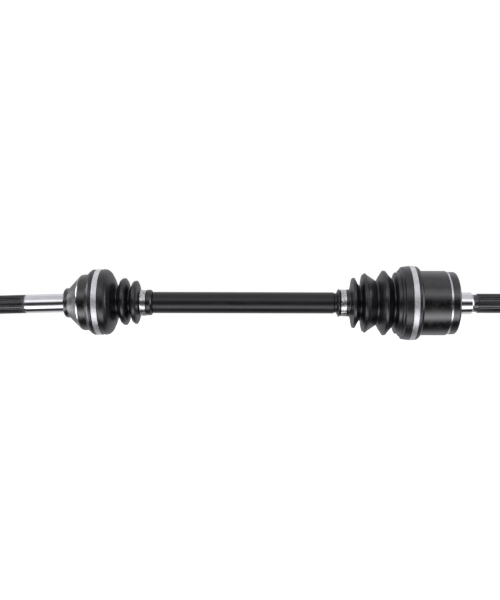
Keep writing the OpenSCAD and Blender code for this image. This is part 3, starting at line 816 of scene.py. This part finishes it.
# Where each boot is split, with the two bodies that each stretch lies between, or the one that it follows.
OUT_FOLDS_OUTER, OUT_FOLDS_INNER = 56, 34
OUT_SPLITS = [("boot_collar", 72, OUT_FOLDS_OUTER, "bar", None),
              ("boot_folds", OUT_FOLDS_OUTER, OUT_FOLDS_INNER, "bar", "outboard_ball_rear"),
              ("boot_valley", OUT_FOLDS_INNER, 29, "outboard_ball_rear", "outboard_cage"),
              ("boot_cone", 29, 24, "outboard_cage", "outboard_ball_front"),
              ("boot_shoulder", 24, 18, "outboard_ball_front", "outboard_cup"),
              ("boot_mouth", 18, -2, "outboard_cup", None)]
IN_SPLITS = [("boot_collar", 2.8, 20.6, "bar", None),
             ("boot_fold_first", 20.6, 31.6, "bar", "inboard_ball_rear"),
             ("boot_fold_second", 31.6, 41.5, "inboard_ball_rear", "inboard_cage"),
             ("boot_fold_third", 41.5, IN_VALLEY_X, "inboard_cage", "inboard_ball_front"),
             ("boot_slide", IN_LAST_FOLD_END, 77.4, "inboard_boot", "inboard_cup"),
             ("boot_mouth", 77.4, 100.4, "inboard_cup", None)]


def boot_piece(name, outer, inner, low, high, bend=None):
    """The stretch of a boot's wall between two x, from its outside and inside lines."""
    rows = rows_of(cut_between(outer, low, high)) + rows_of(cut_between(inner, low, high))[::-1]
    return turned(name, rows, [RUBBER], closed=True, bend=bend)


def wheel_end_boot():
    """Pieces of the wheel-end boot: the two end pieces follow the body they sit on, and the four between stay
    in place with the rest tilt in them.
    """
    outer, inner = outline(OUT_BOOT_OUTER), outline(OUT_BOOT_INNER)

    def bend(x):
        """The rest tilt, taken up smoothly over the folds."""
        share = min(1, max(0, (OUT_FOLDS_OUTER - x) / (OUT_FOLDS_OUTER - OUT_FOLDS_INNER)))
        share = share * share * (3 - 2 * share)
        return Matrix.Translation(OUT_CENTRE) @ Matrix.Rotation(-REST_TILT * share, 4, "Y")

    for name, a, b, body, onward in OUT_SPLITS:
        piece = boot_piece(f"outboard_{name}", outer, inner, min(a, b), max(a, b), bend)
        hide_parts("outboard_boot")
        if onward is None:
            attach(piece, body)
        elif body == "bar":
            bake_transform(piece)
        else:
            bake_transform(piece)


def on_ball(radius, start, stop, step=1.5):
    """Points of a ball round the gearbox-end joint centre, from start to stop degrees off the axis."""
    centre = IN_CENTRE.x / MM
    count = max(1, round(abs(stop - start) / step))
    angles = [math.radians(start + (stop - start) * k / count) for k in range(count + 1)]
    return [(centre - radius * math.cos(a), radius * math.sin(a)) for a in angles]


def last_fold(outer, inner):
    """The fold nearest the cup, in two parts that slide on each other: its outside and a lining under it."""
    high = BAR_HALF + IN_LAST_FOLD_END
    crest = cut_between(outer, BAR_HALF + 57.3, high)
    inside = cut_between(inner, BAR_HALF + 59, high)[::-1]
    flank = on_ball(IN_FLANK_R, IN_FLANK_EDGE, 36.6)
    under = on_ball(IN_FLANK_R - IN_FLANK_WALL, 34.8, IN_FLANK_EDGE)
    cover_rows = rows_of(flank + crest + inside + under)
    cover = turned("inboard_boot_fold_fourth", cover_rows, [RUBBER], closed=True)
    valley = BAR_HALF + IN_VALLEY_X
    outer_start, inner_start = (cut_between(points, valley, valley + 1)[0] for points in (outer, inner))
    front = on_ball(IN_LINING_R, 26, IN_LINING_RIM)
    back = on_ball(IN_LINING_R - IN_LINING_WALL, IN_LINING_RIM, 25)
    lining_rows = rows_of([outer_start] + front + back + [inner_start])
    lining = turned("inboard_boot_lining", lining_rows, [RUBBER], closed=True)
    for piece, body in ((cover, "inboard_boot"), (lining, "inboard_ball_front")):
        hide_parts("inboard_boot")
        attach(piece, body)


def gearbox_end_boot():
    """Pieces of the gearbox-end boot: the collar and the mouth follow the body they sit on, the four between
    stay in place, and the last fold slides.
    """
    outer = [(x + BAR_HALF, r) for x, r in outline(IN_BOOT_OUTER)]
    inner = [(x + BAR_HALF, r) for x, r in outline(IN_BOOT_INNER)]
    for name, a, b, body, onward in IN_SPLITS:
        low, high = a + BAR_HALF, b + BAR_HALF
        piece = boot_piece(f"inboard_{name}", outer, inner, low, high)
        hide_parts("inboard_boot")
        if onward is None:
            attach(piece, body)
        else:
            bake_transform(piece)
    last_fold(outer, inner)


# ---- Clamps ----

def arc(radius, start, stop, step=2.5):
    """Points (y, z) on a circle about X from angle start to stop, in degrees from +Y towards +Z."""
    count = max(2, math.ceil(abs(stop - start) / step))
    angles = [math.radians(start + (stop - start) * k / count) for k in range(count + 1)]
    return [(radius * math.cos(a), radius * math.sin(a)) for a in angles]


def polar(angle, radius):
    """The point (y, z) at an angle in degrees and a radius."""
    return (radius * math.cos(math.radians(angle)), radius * math.sin(math.radians(angle)))


# Thickness of the strip, the room between its layers, its width over a large and a small seat, and how far it
# lies on the band at each side of the ear.
CLAMP_SHEET = 0.42
CLAMP_GAP = 0.02
LARGE_WIDTH = 6.2
SMALL_WIDTH = 6.6
CLAMP_LAP = 14

# Ears as (degrees from +Y towards +Z, width, height).
LARGE_EAR = (25, 11, 2.6)
OUT_SMALL_EAR = (262, 6.4, 1.6)
IN_SMALL_EAR = (236, 6.4, 1.6)


def ear_outline(at, over, width, height):
    """The crimped ear in section, from where the strip leaves the band to where it comes back, as (y, z)."""
    half = math.degrees(width / 2 / over)
    top = over + height - CLAMP_SHEET / 2
    side = [(1.15, over), (0.9, over + height * 0.3), (1, top - 0.35 * height), (0.82, top - 0.04 * height),
            (0.41, top - 0.06 * height)]
    rising = [polar(at - half * share, radius) for share, radius in side]
    falling = [polar(at + half * share, radius) for share, radius in reversed(side)]
    return rising + [polar(at, top - 0.18 * height)] + falling


def ear_clamp(node, body, x, seat_r, width, ear, look, place=AT_ORIGIN):
    """A stepless ear clamp: the band round the boot, and over it the strip that is crimped into the ear."""
    ear_at, ear_w, ear_h = ear
    over = seat_r + 1.5 * CLAMP_SHEET + 2 * CLAMP_GAP
    half = math.degrees(ear_w / 2 / over) * 1.3
    lap = math.degrees(CLAMP_LAP / over)
    path = arc(over, ear_at - half - lap, ear_at - half)
    path += ear_outline(ear_at, over, ear_w, ear_h)
    path += arc(over, ear_at + half, ear_at + half + lap)
    low, high = x - width / 2, x + width / 2
    strap = strip(f"{node}_ear", path, low + 0.2, high - 0.2, CLAMP_SHEET, [look], place)
    bottom, top = seat_r + CLAMP_GAP, over + CLAMP_SHEET / 2 - 0.05
    section = outline([(low, bottom), (high, bottom), (high, top, 0.2), (low, top, 0.2)], closed=True)
    band = turned(f"{node}_band", rows_of(section), [look], closed=True, place=place)
    for piece in (strap, band):
        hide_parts(node)
        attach(piece, body)


def clamps():
    """Two clamps on each boot. The wheel end's large one leans a little on its seat."""
    lean = Matrix.Rotation(math.radians(CLAMP_LEAN), 4, "Y")
    seat = Matrix.Translation((OUT_CLAMP_X * MM, 0, 0))
    leaning = ON_OUT_CUP @ seat @ lean @ seat.inverted()
    ear_clamp("outboard_clamp_large", "outboard_cup", OUT_CLAMP_X, 38.45, LARGE_WIDTH, LARGE_EAR, CLAMP,
              leaning)
    ear_clamp("outboard_clamp_small", "bar", -BAR_HALF - 10.9, 14, SMALL_WIDTH, OUT_SMALL_EAR, SMALL_CLAMP)
    ear_clamp("inboard_clamp_large", "inboard_cup", IN_CLAMP_X, 43.8, LARGE_WIDTH, LARGE_EAR, CLAMP)
    ear_clamp("inboard_clamp_small", "bar", BAR_HALF + 10.8, 15.1, SMALL_WIDTH, IN_SMALL_EAR, SMALL_CLAMP)


# ---- Camera, floor and light ----

def camera():
    """Level with the bar and a little right of the object's middle, looking straight at it."""
    focal_mm, sensor_mm = 44, 36
    distance, above_axis, right_of_middle = 0.88, 0.0033, 0.0337
    roll_degrees = -0.15
    # How far right of the picture's middle the lens looks, at the bar's distance.
    off_centre = 0.0192
    data = bpy.data.cameras.new("camera")
    data.lens = focal_mm
    data.sensor_width = sensor_mm
    data.shift_x = -off_centre / distance * focal_mm / sensor_mm
    data.clip_end = 50
    eye = bpy.data.objects.new("camera", data)
    bpy.context.scene.collection.objects.link(eye)
    middle = (cad_box[0].x + cad_box[1].x) / 2
    eye.location = (middle + right_of_middle, -distance, above_axis)
    eye.rotation_euler = (math.radians(90), math.radians(roll_degrees), 0)
    bpy.context.scene.camera = eye


def floor():
    """A plain pale floor below the object, left out of its reflections."""
    mesh = bpy.data.meshes.new("floor")
    size, drop = 12, 0.3
    mesh.from_pydata([(-size, -size, -drop), (size, -size, -drop), (size, size, -drop), (-size, size, -drop)],
                     [], [(0, 1, 2, 3)])
    paint = bpy.data.materials.new("floor_pale")
    paint.use_nodes = True
    shader = paint.node_tree.nodes["Principled BSDF"]
    shader.inputs["Base Color"].default_value = (0.9, 0.9, 0.9, 1)
    shader.inputs["Roughness"].default_value = 0.9
    shader.inputs["Emission Color"].default_value = (1, 1, 1, 1)
    shader.inputs["Emission Strength"].default_value = 0.7
    mesh.materials.append(paint)
    piece = bpy.data.objects.new("floor", mesh)
    bpy.context.scene.collection.objects.link(piece)
    piece.visible_glossy = False


# Brightness of the studio round the bar's axis: 0 degrees is the camera's side, 90 overhead, -90 the floor.
STUDIO = [(-180, 0.45), (-157, 0.6), (-134, 0.75), (-118, 0.5), (-104, 0.12), (-94, 0.03), (-80, 0.03),
          (-70, 0.12), (-63, 1.1), (-56, 2.6), (-48, 2.9), (-38, 1.9), (-28, 0.6), (-20, 0.12), (-10, 0.05),
          (0, 0.03), (10, 0.08), (20, 0.7), (32, 1.35), (42, 1.05), (54, 0.6), (66, 0.65), (85, 0.65),
          (100, 0.62), (112, 0.75), (125, 0.85), (145, 0.75), (165, 0.5), (180, 0.42)]
LIGHT_TINT = (1.0, 0.99, 1.035)
# How far along the bar a direction may point before that light fades, where it has faded, and what is left.
FADE_START, FADE_END, DARK_ENDS = 0.55, 0.95, 0.12
# Soft boxes beyond the two ends: x, nearest and farthest y, lowest and highest z, in metres, and brightness.
SOFT_BOXES = [(0.75, -0.26, -0.07, -0.12, 0.38, 5.0), (-0.75, -0.34, 0.1, 0.16, 0.5, 4.0),
              (-0.75, -0.34, 0.1, -0.5, -0.12, 5.0)]


def studio():
    """Light from all round, in long bands beside the bar. The camera itself sees white."""
    world = bpy.data.worlds.new("studio")
    bpy.context.scene.world = world
    world.use_nodes = True
    tree = world.node_tree
    tree.nodes.clear()

    def node(kind, **settings):
        made = tree.nodes.new(kind)
        for name, value in settings.items():
            setattr(made, name, value)
        return made

    where = node("ShaderNodeTexCoord")
    parts = node("ShaderNodeSeparateXYZ")
    tree.links.new(where.outputs["Generated"], parts.inputs[0])
    front = node("ShaderNodeMath", operation="MULTIPLY")
    tree.links.new(parts.outputs["Y"], front.inputs[0])
    front.inputs[1].default_value = -1
    angle = node("ShaderNodeMath", operation="ARCTAN2")
    tree.links.new(parts.outputs["Z"], angle.inputs[0])
    tree.links.new(front.outputs[0], angle.inputs[1])
    share = node("ShaderNodeMapRange")
    share.inputs[1].default_value = -math.pi
    share.inputs[2].default_value = math.pi
    tree.links.new(angle.outputs[0], share.inputs[0])
    ramp = node("ShaderNodeValToRGB")
    ramp.color_ramp.interpolation = "EASE"
    while len(ramp.color_ramp.elements) < len(STUDIO):
        ramp.color_ramp.elements.new(0.5)
    for element, (degrees, bright) in zip(ramp.color_ramp.elements, STUDIO):
        element.position = (degrees + 180) / 360
        element.color = (*(bright * tint for tint in LIGHT_TINT), 1)
    tree.links.new(share.outputs[0], ramp.inputs[0])
    seen = node("ShaderNodeBackground")
    seen.inputs["Color"].default_value = (1, 1, 1, 1)
    sideways = node("ShaderNodeMath", operation="ABSOLUTE")
    tree.links.new(parts.outputs["X"], sideways.inputs[0])
    fade = node("ShaderNodeMapRange")
    for socket, number in zip(fade.inputs[1:5], (FADE_START, FADE_END, 1.0, DARK_ENDS)):
        socket.default_value = number
    tree.links.new(sideways.outputs[0], fade.inputs[0])
    lit = node("ShaderNodeBackground")
    tree.links.new(ramp.outputs[0], lit.inputs["Color"])
    tree.links.new(fade.outputs[0], lit.inputs["Strength"])
    path = node("ShaderNodeLightPath")
    blend = node("ShaderNodeMixShader")
    tree.links.new(path.outputs["Is Camera Ray"], blend.inputs[0])
    tree.links.new(lit.outputs[0], blend.inputs[1])
    tree.links.new(seen.outputs[0], blend.inputs[2])
    out = node("ShaderNodeOutputWorld")
    tree.links.new(blend.outputs[0], out.inputs[0])
    bpy.context.scene.view_settings.view_transform = "Standard"


def soft_boxes():
    """Upright glowing panels beyond the two ends of the object, seen only in its reflections."""
    for k, (x, y0, y1, z0, z1, bright) in enumerate(SOFT_BOXES):
        mesh = bpy.data.meshes.new(f"soft_box_{k}")
        mesh.from_pydata([(x, y0, z0), (x, y1, z0), (x, y1, z1), (x, y0, z1)], [], [(0, 1, 2, 3)])
        glow = bpy.data.materials.new(f"soft_box_glow_{k}")
        glow.use_nodes = True
        shader = glow.node_tree.nodes["Principled BSDF"]
        shader.inputs["Base Color"].default_value = (0, 0, 0, 1)
        shader.inputs["Emission Color"].default_value = (*LIGHT_TINT, 1)
        shader.inputs["Emission Strength"].default_value = bright
        mesh.materials.append(glow)
        panel = bpy.data.objects.new(f"soft_box_{k}", mesh)
        bpy.context.scene.collection.objects.link(panel)
        panel.visible_camera = False
        panel.visible_diffuse = False
        panel.visible_shadow = False


camera()
floor()
studio()
soft_boxes()
dress_cad_nodes()
wheel_end_cup()
gearbox_end_cup()
wheel_end_boot()
gearbox_end_boot()
clamps()
